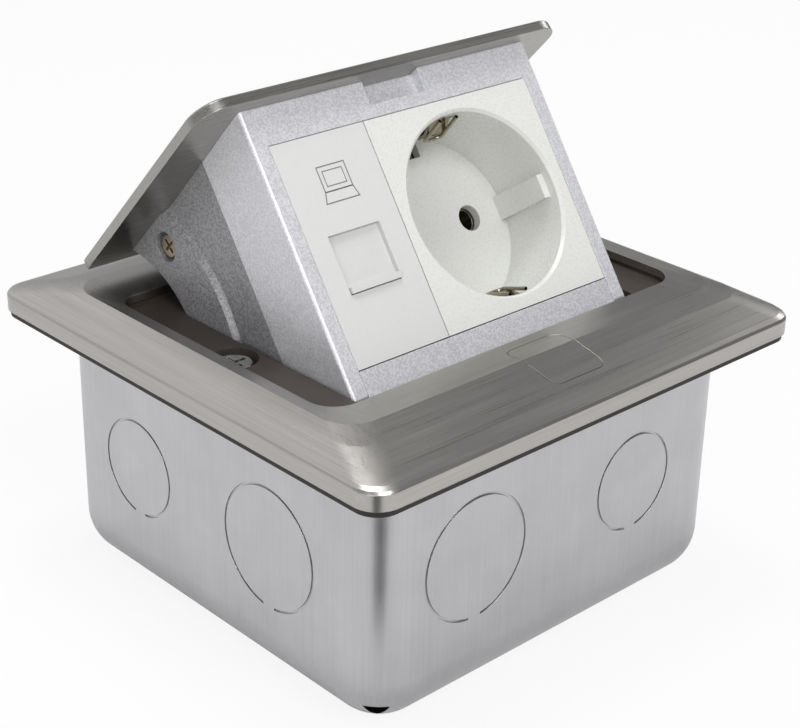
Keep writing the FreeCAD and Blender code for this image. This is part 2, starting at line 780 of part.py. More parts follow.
def hinge_arm_profile(x0, x1):
    """One hinge arm, drawn closed: a curved neck about the hinge axis and a straight arm."""
    r0 = cheek_inner_r + arm_band_inset
    r1 = cheek_outer_r - arm_band_inset
    down = 180 + open_angle
    neck = sector(r0, r1, 128, down, x0, x1)
    neck = below_lid(neck.cut(block(x0, x1, -half_box, half_box, lid_z0 - unit_wall - 0.2, lid_z0 + 40)))
    arm = block(x0, x1, hinge_y - r1, hinge_y, hinge_z - arm_half_width, hinge_z + arm_half_width)
    arm.rotate(HINGE, X_AXIS, open_angle)
    ends = rod(r1 + 1, x1 - x0, V(x0, hinge_y, hinge_z), X_AXIS)
    boss = rod(hinge_boss_r, x1 - x0, V(x0, hinge_y, hinge_z), X_AXIS)
    return fuse(neck, arm.common(ends), boss)


def polar(r, angle, x):
    t = math.radians(angle)
    return V(x, hinge_y + r * math.cos(t), hinge_z + r * math.sin(t))


def hinge_arms():
    arm = hinge_arm_profile(arm_x0, arm_x1)
    arm = arm.cut(rod(hinge_pin_r + running_gap, arm_thickness, V(arm_x0, hinge_y, hinge_z), X_AXIS))
    arm = arm.cut(small_bore(m3_r, arm_thickness, polar(cheek_screw_r, cheek_screw_angle, arm_x0), X_AXIS))
    return pair(arm)


def cheek_screws():
    seat = polar(cheek_screw_r, cheek_screw_angle, face_x - cheek_recess - 1.3)
    return pair(screw(cheek_head_r, 1.2, m3_r, seat.x - arm_x0, seat, V(-1, 0, 0), 0.6))


# ---- Lid ------------------------------------------------------------------------
def lid_screw_points():
    return [(sx * lid_screw_x, lid_screw_y) for sx in (-1, 1)]


def lid_plate():
    front = opening_front_y + lid_gap_front
    shape = outline(-lid_x, lid_x, front, front + lid_length, lid_z0,
                    [lid_front_r, lid_rear_r, lid_rear_r, lid_front_r])
    plate = prism(shape, lid_thickness)
    top = [e for e in plate.Edges if abs(e.BoundBox.ZMin - lip_z) < 1e-6]
    plate = plate.makeChamfer(lid_chamfer, top)
    for x, y in lid_screw_points():
        plate = plate.cut(small_bore(m3_r, 1.5, V(x, y, lid_z0)))
    return plate


def lid_screws():
    seat_z = lid_z0 - unit_wall
    return Part.makeCompound([hex_screw(m3_head_r, 1.5, m3_r, unit_wall + 1.4, V(x, y, seat_z), Z_AXIS)
                              for x, y in lid_screw_points()])


# ---- Housing and bezel ----------------------------------------------------------
def taper_cut(side):
    """Wedge outside the leaning side wall of the unit."""
    far = unit_depth + 30
    points = [V(face_x, 0, 1), V(face_x, 0, 0), V(face_x - wall_taper * far, 0, -far), V(face_x + 5, 0, -far),
              V(face_x + 5, 0, 1)]
    face = Part.Face(Part.makePolygon(points + points[:1]))
    face.translate(V(0, -2 * face_height, 0))
    wedge = on_face(face.extrude(V(0, 3 * face_height, 0)))
    return wedge if side > 0 else mirrored(wedge)


def cheek(x0):
    """Raised cheek on the right wall: a band about the hinge with a hollow-filleted edge."""
    a0 = 125
    band = sector(cheek_inner_r, cheek_outer_r, a0, cheek_end_angle, x0, face_x)
    rim = V(face_x, hinge_y + cheek_outer_r, hinge_z)
    low = V(face_x - 1.6, hinge_y + cheek_outer_r + cheek_fillet, hinge_z)
    bow = V(face_x - 1.17, hinge_y + cheek_outer_r + 0.32 * cheek_fillet, hinge_z)
    root = [V(x0, low.y, hinge_z), V(x0, rim.y - 0.5, hinge_z), V(face_x, rim.y - 0.5, hinge_z)]
    runs = ((low, root[0]), (root[0], root[1]), (root[1], root[2]), (root[2], rim))
    edges = [Part.LineSegment(a, b).toShape() for a, b in runs]
    wire = Part.Wire([Part.Arc(rim, bow, low).toShape()] + edges)
    skirt = Part.Face(wire).revolve(HINGE, X_AXIS, cheek_end_angle - a0)
    skirt.rotate(HINGE, X_AXIS, a0)
    return band, skirt


def side_wall():
    """Right side wall of the housing, with its cheek."""
    x0 = face_x - side_wall_t
    wall = face_block(x0, face_x + 1, -20, face_height, skirt_depth, unit_depth)
    wall = wall.cut(taper_cut(1))
    band, skirt = cheek(x0)
    limit = face_block(x0, face_x, -20, face_height, skirt_depth, unit_depth + 60)
    wall = fuse(wall, band, skirt.common(limit))
    wall = below_lid(wall)
    seat = polar(cheek_screw_r, cheek_screw_angle, x0)
    wall = wall.cut(small_bore(m3_r + slide_gap, 5, seat, X_AXIS))
    recess_x = face_x - cheek_recess - 1.3
    wall = wall.cut(rod(cheek_recess_r, 5, V(recess_x, seat.y, seat.z), X_AXIS))
    return wall


def unit_housing():
    right = side_wall()
    inner = face_x - side_wall_t
    top = block(-inner, inner, face_top_y, face_top_y + 60, lid_z0 - unit_wall, lid_z0)
    span = face_block(-face_x, face_x, -40, face_height, bezel_front + seat_gap, unit_depth)
    top = top.common(span)
    floor = face_block(-inner, inner, face_height - unit_wall, face_height, skirt_depth, unit_depth)
    body = fuse(right, mirrored(right), top, floor)
    for x, y in lid_screw_points():
        body = body.cut(small_bore(m3_r + slide_gap, unit_wall, V(x, y, lid_z0 - unit_wall)))
    top_boss = below_lid(cover_boss(0, 0, boss_top_down + boss_half))
    feet = pair(cover_boss(boss_x, boss_bottom_down - boss_half, face_height))
    body = fuse(body, top_boss, feet)
    for x, down in cover_boss_points():
        body = body.cut(face_bore(1.0, x, down, unit_depth - boss_length, unit_depth - unit_wall))
    return body


def cover_boss(x, top, bottom):
    near = unit_depth - boss_length
    return face_block(x - boss_half, x + boss_half, top, bottom, near, unit_depth - unit_wall)


def cover_boss_points():
    return [(-boss_x, boss_bottom_down), (boss_x, boss_bottom_down), (0, boss_top_down)]


def rear_cover():
    inner = arm_x0 - seat_gap
    foot = face_height - unit_wall - seat_gap
    plate = face_block(-inner, inner, 0, foot, unit_depth - unit_wall, unit_depth)
    plate = plate.cut(block(-inner, inner, -50, 50, lid_z0 - unit_wall - seat_gap, lid_z0 + 20))
    for x, down in cover_boss_points():
        plate = plate.cut(face_bore(1.0 + slide_gap, x, down, unit_depth - unit_wall, unit_depth))
    return plate.cut(face_rod(grommet_r, grommet_x, grommet_down, unit_depth - unit_wall, unit_depth))


def cable_grommet():
    near = unit_depth - unit_wall
    far = unit_depth + grommet_flange
    body = face_rod(grommet_r, grommet_x, grommet_down, near, unit_depth)
    body = body.fuse(face_rod(grommet_r + 1.5, grommet_x, grommet_down, unit_depth, far))
    bore = face_rod(grommet_bore_r, grommet_x, grommet_down, near, far)
    return body.cut(bore).removeSplitter()


def rear_cover_screws():
    outward = FACE.Rotation.multVec(Z_AXIS)
    screws = []
    for x, down in cover_boss_points():
        at = FACE.multVec(V(x, -down, -unit_depth))
        screws.append(hex_screw(1.9, 1.2, 1.0, boss_length - 0.5, at, outward))
    return Part.makeCompound(screws)


def front_bezel():
    front = face_block(-face_x, face_x, 0, face_height, 0, bezel_front)
    body = front
    for side in (-1, 1):
        x0 = min(side * (face_x - bezel_wall), side * face_x)
        body = body.fuse(face_block(x0, x0 + bezel_wall, -10, face_height, 0, skirt_depth - seat_gap))
    floor = face_block(-face_x + 1, face_x - 1, face_height - unit_wall, face_height, bezel_front,
                       skirt_depth - seat_gap)
    body = below_lid(body.fuse(floor).removeSplitter())
    upright = [e for e in body.Edges if e.Length > face_height * 0.9 and on_face_edge(e)]
    body = body.makeFillet(0.7, upright)
    body = body.cut(taper_cut(1)).cut(taper_cut(-1))
    body = body.cut(face_block(-module_half_x, module_half_x, module_top, face_height, 0, bezel_front))
    body = body.cut(face_block(-pocket_x, pocket_x, -1, pocket_height, 0, pocket_depth))
    return body


def on_face_edge(edge):
    """True for the bezel's two upright front edges."""
    inverse = FACE.inverse()
    ends = [inverse.multVec(vertex.Point) for vertex in edge.Vertexes]
    return all(abs(p.z) < 0.01 and abs(abs(p.x) - face_x) < 0.01 for p in ends)


def bezel_strip():
    top = module_top + module_height + seat_gap
    half = module_half_x - seat_gap
    bar = face_block(-half, half, top, face_height, 0, bezel_front)
    half = module_half_x - 4
    tongue = face_block(-half, half, top, face_height - unit_wall - seat_gap, bezel_front, bezel_front + 3)
    return fuse(bar, tongue)


# ---- Data module ----------------------------------------------------------------
def module_block(x0, x1):
    """Front plate of a module, with a flange that bears on the back of the bezel."""
    top = module_top + seat_gap
    bottom = module_top + module_height - seat_gap
    back = module_recess + module_plate
    plate = face_block(x0 + seat_gap, x1 - seat_gap, top, bottom, module_recess, back)
    left = x0 - module_flange if x0 < 0 and x1 < 0 else x0 + seat_gap
    right = x1 + module_flange if x0 > split_x - 1 else x1 - seat_gap
    flange = face_block(left, right, top - module_flange, bottom, back, back + module_flange)
    return plate.fuse(flange).removeSplitter()


def shutter_span(gap=0.0):
    """Top and bottom of the closed shutter plate, below the face's top edge."""
    return window_top - shutter_lap - gap, window_top + window_height + shutter_lap + gap


def data_plate():
    plate = module_block(-module_half_x, split_x)
    low = window_top + window_height
    plate = plate.cut(face_block(window_x0, window_x1, window_top, low, 0, module_back))
    top, bottom = shutter_span(slide_gap)
    pocket = face_block(window_x0 - shutter_lap - slide_gap, window_x1 + shutter_lap + slide_gap,
                        top - shutter_travel, bottom, shutter_near, module_back)
    return plate.cut(pocket)


def data_shutter():
    top, bottom = shutter_span()
    near = shutter_near + 0.05
    far = near + shutter_thickness
    plate = face_block(window_x0 - shutter_lap, window_x1 + shutter_lap, top, bottom, near, far)
    x0 = window_x0 + slide_gap
    x1 = window_x1 - slide_gap
    low = window_top + window_height - slide_gap
    return fuse(plate, face_block(x0, x1, low - ledge_height, low, -ledge_proud, near))


def rj45_jack():
    lap = shutter_lap + 0.6
    top, bottom = shutter_span()
    high = top - jack_lap
    low = bottom + jack_lap
    body = face_block(window_x0 - lap, window_x1 + lap, high, low, module_back, jack_depth)
    nose = face_block(window_x0 - shutter_lap, window_x1 + shutter_lap, top, bottom, jack_near, module_back)
    body = fuse(body, nose)
    half = port_width / 2
    body = body.cut(face_block(port_x - half, port_x + half, port_top, port_top + port_height, jack_near,
                               jack_near + port_depth))
    key = port_key_width / 2
    return body.cut(face_block(port_x - key, port_x + key, port_top + port_height,
                               port_top + port_height + port_key_height, jack_near, jack_near + port_depth))


def rj45_contacts():
    pins = []
    for index in range(contact_count):
        x = port_x + (index - (contact_count - 1) / 2) * contact_pitch
        pins.append(face_block(x - contact_width / 2, x + contact_width / 2, port_top, port_top + 1.2,
                               jack_near + 2, jack_near + port_depth))
    return Part.makeCompound(pins)


# ---- Mains socket ---------------------------------------------------------------
def in_socket(shape):
    """Place a shape drawn about the socket's axis, with the face at z = 0."""
    moved = shape.copy()
    moved.translate(V(socket_x, -module_mid, -module_recess))
    return on_face(moved)


def socket_cover():
    cup_r = socket_cup_r + cup_wall
    cup = rod(cup_r, socket_depth + cup_floor - 1, V(0, 0, -socket_depth - cup_floor))
    plate = module_block(split_x, module_half_x)
    body = fuse(plate, in_socket(cup))
    well = rod(socket_cup_r, socket_depth + 1, V(0, 0, -socket_depth))
    body = body.cut(in_socket(well))
    mouth = Part.makeCone(socket_cup_r, socket_cup_r + 0.6, 0.6, V(0, 0, -0.6))
    body = body.cut(in_socket(mouth))
    for side in (-1, 1):
        hole = rod(pin_hole_r, cup_floor, V(side * pin_pitch / 2, 0, -socket_depth - cup_floor))
        body = body.cut(in_socket(hole))
        y0 = min(side * (earth_contact_r - 1.6), side * (cup_r + 1))
        y1 = max(side * (earth_contact_r - 1.6), side * (cup_r + 1))
        half = earth_slot_width / 2
        body = body.cut(in_socket(block(-half, half, y0, y1, -socket_depth - cup_floor, -module_plate)))
        x0 = min(side * (socket_cup_r - rib_height), side * (socket_cup_r + 0.5))
        rib = block(x0, x0 + rib_height + 0.5, -rib_width / 2, rib_width / 2, -socket_depth, -rib_top)
        body = body.fuse(in_socket(rib))
    return body.removeSplitter()


def earth_clip():
    under = -socket_depth - cup_floor - earth_strap_t / 2
    reach = socket_cup_r + 0.5
    crest = earth_contact_r + 0.6
    half = [(0.0, under), (reach - 1.2, under), (reach, under + 1.2), (reach, -13.0),
            (crest, -9.0), (crest, -7.0), (reach, -4.0)]
    points = [(-v, w) for v, w in half[:0:-1]] + half
    x = earth_strap_width / 2
    return in_socket(strip(points, earth_strap_t, -x, x))


def pin_contacts():
    top = -socket_depth - cup_floor - 0.3
    sleeves = []
    for side in (-1, 1):
        at = V(side * pin_pitch / 2, 0, top - sleeve_length)
        bore = many_sided(12, sleeve_bore_r, 1.2, sleeve_length)
        sleeve = many_sided(12, sleeve_r, 0, sleeve_length).cut(bore)
        sleeve.translate(at)
        slit = block(at.x - 0.3, at.x + 0.3, 0, sleeve_r + 1, top - sleeve_length * 0.7, top)
        sleeves.append(in_socket(sleeve.cut(slit)))
    return Part.makeCompound(sleeves)


def socket_base():
    top = -socket_depth - cup_floor
    body = block(-base_width / 2, base_width / 2, -base_height / 2, base_height / 2, top - base_depth, top)
    half = earth_strap_width / 2 + seat_gap
    body = body.cut(block(-half, half, -base_height, base_height, top - earth_strap_t - seat_gap, top))
    for side in (-1, 1):
        at = V(side * pin_pitch / 2, 0, top - 0.3 - sleeve_length)
        socket = many_sided(12, sleeve_r, 0, sleeve_length + 0.3)
        socket.translate(at)
        body = body.cut(socket)
    for x, y, z in terminal_points():
        body = body.cut(small_bore(terminal_r, 4.0, V(x, y, z)))
        body = body.cut(small_bore(1.3, 8.0, V(x, y, z)))
    return in_socket(body)


def terminal_points():
    z = -socket_depth - cup_floor - base_depth
    return [((i - 1) * terminal_pitch, -10.5, z) for i in range(3)]


def terminal_screws():
    screws = []
    for x, y, z in terminal_points():
        screws.append(in_socket(hex_screw(terminal_r - 0.1, 1.8, 1.3, 3.9, V(x, y, z + 4.0), Z_AXIS)))
    return Part.makeCompound(screws)


# ---- Write every sub-part -------------------------------------------------------
def fixed_parts():
    body = frame_body()
    return {
        "back_box": back_box(),
        "box_lugs": box_lugs(),
        "earth_lug": earth_lug(),
        "earth_screw": earth_screw(),
        "gasket": gasket(),
        "cover_frame": cover_frame(body),
        "support_frame": support_frame(),
        "cover_screws": cover_screws(),
        "fixing_screws": fixing_screws(),
        "hinge_pins": hinge_pins(),
        "torsion_springs": torsion_springs(),
        "latch_keeper": latch_keeper(),
        "keeper_screws": keeper_screws(),
        "latch_slide": latch_slide(),
        "latch_springs": latch_springs(),
        "release_button": release_button(body),
        "button_spring": button_spring(body),
    }


def unit_parts():
    return {
        "lid_plate": lid_plate(),
        "lid_screws": lid_screws(),
        "unit_housing": unit_housing(),
        "rear_cover": rear_cover(),
        "rear_cover_screws": rear_cover_screws(),
        "cable_grommet": cable_grommet(),
        "hinge_arms": hinge_arms(),
        "cheek_screws": cheek_screws(),
        "front_bezel": front_bezel(),
        "bezel_strip": bezel_strip(),
        "data_plate": data_plate(),
        "data_shutter": data_shutter(),
        "rj45_jack": rj45_jack(),
        "rj45_contacts": rj45_contacts(),
        "socket_cover": socket_cover(),
        "earth_clip": earth_clip(),
        "pin_contacts": pin_contacts(),
        "socket_base": socket_base(),
        "terminal_screws": terminal_screws(),
    }


def main():
    os.makedirs("parts", exist_ok=True)
    parts = fixed_parts()
    for name, shape in unit_parts().items():
        parts[name] = opened(shape)
    for name, shape in parts.items():
        shape.exportStep(os.path.join("parts", name + ".step"))
        print(name, "solids", len(shape.Solids), "valid", shape.isValid(), "volume", round(shape.Volume, 1))


main()
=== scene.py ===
import math

import bmesh
import bpy
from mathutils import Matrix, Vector


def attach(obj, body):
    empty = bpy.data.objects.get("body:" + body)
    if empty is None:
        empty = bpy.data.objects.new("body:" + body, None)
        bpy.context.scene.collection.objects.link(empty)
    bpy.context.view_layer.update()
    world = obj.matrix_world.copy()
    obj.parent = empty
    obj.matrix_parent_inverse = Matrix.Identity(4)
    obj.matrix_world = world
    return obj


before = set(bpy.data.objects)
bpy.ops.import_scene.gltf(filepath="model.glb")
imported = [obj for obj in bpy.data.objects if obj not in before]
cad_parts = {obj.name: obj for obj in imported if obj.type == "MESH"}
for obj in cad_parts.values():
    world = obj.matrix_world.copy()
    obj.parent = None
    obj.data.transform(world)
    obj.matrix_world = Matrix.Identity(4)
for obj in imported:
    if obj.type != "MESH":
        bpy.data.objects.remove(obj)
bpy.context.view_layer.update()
MM = 0.001


# ---- Colours and shader nodes -----------------------------------------------------
def colour(hex_code):
    """Linear RGBA of an sRGB hex colour such as "8A8A88"."""
    channels = []
    for start in (0, 2, 4):
        c = int(hex_code[start:start + 2], 16) / 255
        channels.append(c / 12.92 if c <= 0.04045 else ((c + 0.055) / 1.055) ** 2.4)
    return (*channels, 1.0)


def add_node(tree, kind, settings=None, **sockets):
    """Adds a shader node. Settings are its properties; a socket takes a value or another socket."""
    node = tree.nodes.new(kind)
    for name, value in (settings or {}).items():
        setattr(node, name, value)
    for name, value in sockets.items():
        label = name.replace("_", " ")
        socket = node.inputs[int(name[1:])] if name[0] == "i" and name[1:].isdigit() else node.inputs[label]
        if isinstance(value, bpy.types.NodeSocket):
            tree.links.new(value, socket)
        else:
            socket.default_value = value
    return node


def new_material(name, base, roughness, metallic=0.0, ior=1.5):
    """A material with its shader; the colour is the sRGB hex of the finish."""
    material = bpy.data.materials.new(name)
    material.use_nodes = True
    shader = material.node_tree.nodes["Principled BSDF"]
    shader.inputs["Base Color"].default_value = colour(base)
    shader.inputs["Roughness"].default_value = roughness
    shader.inputs["Metallic"].default_value = metallic
    if metallic < 1.0:
        shader.inputs["IOR"].default_value = ior
    return material, material.node_tree, shader


# ---- Patterns, laid out in millimetres on the row frame ---------------------------
def brush_lines(tree, along, line_mm, run_mm, detail=3.0):
    """Fine lines along one axis: line_mm apart and run_mm long. Returns their height."""
    place = add_node(tree, "ShaderNodeTexCoord")
    across = 1 / (line_mm * MM)
    scale = [1 / (run_mm * MM) if axis == along else across for axis in "XYZ"]
    stretch = add_node(tree, "ShaderNodeMapping", Vector=place.outputs["Object"], Scale=scale)
    lines = add_node(tree, "ShaderNodeTexNoise", Vector=stretch.outputs["Vector"], Scale=1.0, Detail=detail)
    return lines.outputs["Fac"]


def even_grain(tree, size_mm, detail=2.0):
    """Noise with grains size_mm across. Returns its height."""
    place = add_node(tree, "ShaderNodeTexCoord")
    noise = add_node(tree, "ShaderNodeTexNoise", Vector=place.outputs["Object"], Scale=1 / (size_mm * MM),
                     Detail=detail)
    return noise.outputs["Fac"]


def flake_values(tree, size_mm):
    """One random value for each metal flake, size_mm across."""
    place = add_node(tree, "ShaderNodeTexCoord")
    cells = add_node(tree, "ShaderNodeTexVoronoi", Vector=place.outputs["Object"], Scale=1 / (size_mm * MM))
    return add_node(tree, "ShaderNodeSeparateColor", Color=cells.outputs["Color"]).outputs["Red"]


def finish_surface(tree, shader, pattern, tones, gloss, depth_mm, edge_mm):
    """Pattern moves the tone between two hex colours and the roughness between two values,
    stands depth_mm high, and every edge is rounded by edge_mm."""
    low, high = (colour(code) for code in tones)
    level = add_node(tree, "ShaderNodeMapRange", Value=pattern, From_Min=0.3, From_Max=0.7).outputs["Result"]
    tone = add_node(tree, "ShaderNodeMix", {"data_type": "RGBA"}, i0=level, i6=low, i7=high)
    tree.links.new(tone.outputs[2], shader.inputs["Base Color"])
    rough = add_node(tree, "ShaderNodeMapRange", Value=pattern, From_Min=0.3, From_Max=0.7, To_Min=gloss[0],
                     To_Max=gloss[1])
    tree.links.new(rough.outputs["Result"], shader.inputs["Roughness"])
    edge = add_node(tree, "ShaderNodeBevel", {"samples": 6}, Radius=edge_mm * MM)
    bump = add_node(tree, "ShaderNodeBump", Height=pattern, Distance=depth_mm * MM, Strength=0.5,
                    Normal=edge.outputs["Normal"])
    tree.links.new(bump.outputs["Normal"], shader.inputs["Normal"])


# ---- Finishes ---------------------------------------------------------------------
def brushed_rim_steel(name, edge_mm):
    """Stainless sheet, brushed along each side of the frame with mitred corners: a soft
    sheen that runs out along the lines, with faint darker streaks."""
    material, tree, shader = new_material(name, "B3B0AC", 0.30, 1.0)
    place = add_node(tree, "ShaderNodeTexCoord")
    split = add_node(tree, "ShaderNodeSeparateXYZ", Vector=place.outputs["Object"])
    width = add_node(tree, "ShaderNodeMath", {"operation": "ABSOLUTE"}, i0=split.outputs["X"])
    depth = add_node(tree, "ShaderNodeMath", {"operation": "ABSOLUTE"}, i0=split.outputs["Y"])
    side = add_node(tree, "ShaderNodeMath", {"operation": "SUBTRACT"}, i0=width.outputs[0],
                    i1=depth.outputs[0])
    mitre = add_node(tree, "ShaderNodeMapRange", Value=side.outputs[0], From_Min=-3 * MM, From_Max=3 * MM)
    fine = add_node(tree, "ShaderNodeMix", Factor=mitre.outputs["Result"],
                    A=brush_lines(tree, "X", 0.22, 30), B=brush_lines(tree, "Y", 0.22, 30))
    broad = add_node(tree, "ShaderNodeMix", Factor=mitre.outputs["Result"],
                     A=brush_lines(tree, "X", 2.5, 30), B=brush_lines(tree, "Y", 2.5, 30))
    both = add_node(tree, "ShaderNodeMix", Factor=0.35, A=fine.outputs[0], B=broad.outputs[0])
    finish_surface(tree, shader, both.outputs[0], ("A9A6A2", "BCB9B5"), (0.26, 0.36), 0.006, edge_mm)
    return material


def drawn_box_steel():
    """Zinc-coated deep-drawn sheet: clear satin reflections with faint upright drawing marks."""
    material, tree, shader = new_material("zinc_coated_drawn_steel", "BFBFC1", 0.30, 1.0)
    marks = add_node(tree, "ShaderNodeMix", Factor=0.5, A=brush_lines(tree, "Z", 0.5, 40),
                     B=even_grain(tree, 9))
    finish_surface(tree, shader, marks.outputs[0], ("B9B9BB", "C5C5C7"), (0.27, 0.33), 0.004, 0.15)
    return material


def silver_lacquer(name, tones, flake_mm=0.3, gloss=(0.36, 0.46), depth_mm=0.012, edge_mm=0.25):
    """Silver lacquer on die-cast metal: fine sparkling flakes in a satin coat."""
    material, tree, shader = new_material(name, tones[0], gloss[0], 0.35)
    finish_surface(tree, shader, flake_values(tree, flake_mm), tones, gloss, depth_mm, edge_mm)
    return material


def moulded_plastic(name, tones, gloss=(0.33, 0.42), grain_mm=0.5, depth_mm=0.003, edge_mm=0.15):
    """Injection-moulded plastic: even colour with a very fine satin texture."""
    material, tree, shader = new_material(name, tones[0], gloss[0], 0.0, 1.53)
    finish_surface(tree, shader, even_grain(tree, grain_mm), tones, gloss, depth_mm, edge_mm)
    return material


def plated_metal(name, tones, gloss, edge_mm=0.12):
    """Small turned or pressed metal pieces with faint tool marks under the plating."""
    material, tree, shader = new_material(name, tones[0], gloss[0], 1.0)
    finish_surface(tree, shader, even_grain(tree, 0.7, 3.0), tones, gloss, 0.003, edge_mm)
    return material


def brushed_lid_steel():
    """Stainless plate of the lid, brushed across its width."""
    material, tree, shader = new_material("brushed_stainless_lid", "A6A49F", 0.30, 1.0)
    finish_surface(tree, shader, brush_lines(tree, "X", 0.22, 26), ("9B9994", "B2B0AB"), (0.26, 0.36),
                   0.006, 0.25)
    return material


rim_steel = brushed_rim_steel("brushed_stainless_rim", 0.22)
button_steel = brushed_rim_steel("brushed_stainless_button", 0.10)
box_steel = drawn_box_steel()
lid_steel = brushed_lid_steel()
bezel_paint = silver_lacquer("silver_lacquer_bezel", ("D0D0D5", "E4E4E8"))
strip_paint = silver_lacquer("silver_lacquer_strip", ("C9C9CE", "DEDEE2"))
# Painted shade: the housing wears the bezel's silver lacquer, its tones darkened all over to stand in for the
# shade it lies in.
lacquer_with_painted_shade = silver_lacquer("silver_lacquer_painted_shade", ("8A8A8C", "A8A8AB"), 0.35, (0.38, 0.5), 0.02)
gasket_rubber = moulded_plastic("black_nitrile_gasket", ("1B1713", "251F1A"), (0.55, 0.65), 0.4, 0.01)
ledge_nylon = moulded_plastic("dark_glass_filled_nylon", ("342D28", "423A34"), (0.42, 0.54), 0.5, 0.01)
white_abs = moulded_plastic("white_abs_module", ("D3D3D1", "D6D6D4"))
shutter_abs = moulded_plastic("white_abs_shutter", ("D0D0CE", "D3D3D1"))
socket_urea = moulded_plastic("white_urea_socket", ("DCDDD9", "DEDFDB"), (0.26, 0.30), 0.5, 0.001)
black_nylon = moulded_plastic("black_nylon_cover", ("1E1E20", "262628"), (0.46, 0.56))
grey_nylon = moulded_plastic("grey_nylon_base", ("868684", "92928F"), (0.46, 0.56))
jack_nylon = moulded_plastic("dark_nylon_jack", ("353537", "3D3D3F"), (0.4, 0.48))
sign_ink = moulded_plastic("grey_pad_printed_sign", ("70706E", "7A7A78"), (0.5, 0.6), edge_mm=0.02)
chrome = plated_metal("bright_chrome_plating", ("CFCFCD", "DDDDDB"), (0.08, 0.16))
nickel = plated_metal("nickel_plated_spring_steel", ("A79F8D", "B9B19F"), (0.18, 0.28))
zinc = plated_metal("zinc_plated_steel", ("ADAEAC", "BDBEBC"), (0.28, 0.38))
spring_wire = plated_metal("oiled_spring_wire", ("707073", "808083"), (0.3, 0.4))
brass = plated_metal("plain_brass", ("B8995A", "C8A962"), (0.26, 0.36))
contact_nickel = plated_metal("nickel_plated_pin_sleeve", ("8A8474", "9C9686"), (0.26, 0.36))
yellow_zinc = plated_metal("yellow_zinc_plating", ("A59A86", "B8AC97"), (0.28, 0.38))
gold = plated_metal("gold_plated_contact", ("CFA856", "DDB963"), (0.18, 0.26))

finishes = {
    "back_box": box_steel, "box_lugs": zinc, "earth_lug": zinc, "earth_screw": brass,
    "gasket": gasket_rubber, "cover_frame": rim_steel, "release_button": button_steel,
    "support_frame": ledge_nylon, "cover_screws": zinc, "fixing_screws": chrome,
    "hinge_pins": zinc, "torsion_springs": spring_wire,
    "latch_keeper": zinc, "keeper_screws": zinc, "latch_slide": zinc, "latch_springs": spring_wire,
    "button_spring": spring_wire, "lid_plate": lid_steel, "lid_screws": zinc,
    # The unit housing's lacquer carries painted shade: a darker copy of the bezel's silver paint.
    "unit_housing": lacquer_with_painted_shade, "rear_cover": black_nylon, "rear_cover_screws": zinc,
    "cable_grommet": gasket_rubber, "hinge_arms": zinc, "cheek_screws": yellow_zinc,
    "front_bezel": bezel_paint, "bezel_strip": strip_paint, "data_plate": white_abs,
    "data_shutter": shutter_abs, "rj45_jack": jack_nylon, "rj45_contacts": gold,
    "socket_cover": socket_urea, "earth_clip": nickel, "pin_contacts": contact_nickel,
    "socket_base": grey_nylon, "terminal_screws": brass,
}
for node_name, finish in finishes.items():
    node_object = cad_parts[node_name]
    node_object.data.materials.clear()
    node_object.data.materials.append(finish)


# ---- Extra pieces on the raised unit ----------------------------------------------
FACE_TOP = Vector((0.0, 2.77, 108.61)) * MM    # middle of the socket face's top edge
FACE_TILT = math.radians(34.8)                 # the face leans back from upright
FACE_DOWN = Vector((0.0, -math.sin(FACE_TILT), -math.cos(FACE_TILT)))
FACE_OUT = Vector((0.0, -math.cos(FACE_TILT), math.sin(FACE_TILT)))
MODULE_RECESS = 0.1                            # module plates below the face, in mm
SOCKET_X = 11.75                               # middle of the socket's well, across and down, in mm
SOCKET_DOWN = 29.95
INK_THICKNESS = 0.012                          # printed line above the plate, in mm


def on_face(x, down, out):
    """Point in metres: x across, down from the face's top edge, and out from the face, in mm."""
    return FACE_TOP + Vector((x * MM, 0, 0)) + FACE_DOWN * (down * MM) + FACE_OUT * (out * MM)


def add_piece(name, data, finish, body):
    """Links a piece, gives it its finish and lets it ride on a body."""
    piece = bpy.data.objects.new(name, data)
    bpy.context.scene.collection.objects.link(piece)
    data.materials.append(finish)
    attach(piece, body)
    return piece


def printed_line(mesh, points, width):
    """Closed printed line on the data plate through (x, down) corners, mitred at each."""
    lift = INK_THICKNESS - MODULE_RECESS
    count = len(points)
    middle = Vector((sum(p[0] for p in points), sum(p[1] for p in points))) / count
    rings = []
    for side in (-0.5, 0.5):
        ring = []
        for index in range(count):
            here = Vector(points[index])
            before = (here - Vector(points[index - 1])).normalized()
            after = (Vector(points[(index + 1) % count]) - here).normalized()
            out = (Vector((before.y, -before.x)) + Vector((after.y, -after.x))).normalized()
            if out.dot(here - middle) < 0:
                out = -out
            turn = max(0.4, abs(out.dot(Vector((after.y, -after.x)))))
            spot = here + out * (side * width / turn)
            ring.append(mesh.verts.new(on_face(spot.x, spot.y, lift)))
        rings.append(ring)
    for index in range(count):
        nxt = (index + 1) % count
        mesh.faces.new((rings[0][index], rings[0][nxt], rings[1][nxt], rings[1][index]))


def computer_sign():
    """Printed sign over the data window: a screen, its inner edge and the keyboard under it."""
    x0, x1, top, foot = -25.7, -18.9, 13.8, 18.8
    inset = 1.0
    mesh = bmesh.new()
    printed_line(mesh, [(x0, top), (x1, top), (x1, foot), (x0, foot)], 0.26)
    printed_line(mesh, [(x0 + inset, top + inset), (x1 - inset, top + inset), (x1 - inset, foot - inset),
                        (x0 + inset, foot - inset)], 0.22)
    printed_line(mesh, [(x0, foot), (x1, foot), (x1 + 0.7, foot + 2.2), (x0 - 0.7, foot + 2.2)], 0.26)
    bmesh.ops.recalc_face_normals(mesh, faces=mesh.faces)
    data = bpy.data.meshes.new("computer_sign")
    mesh.to_mesh(data)
    mesh.free()
    add_piece("computer_sign", data, sign_ink, "unit")


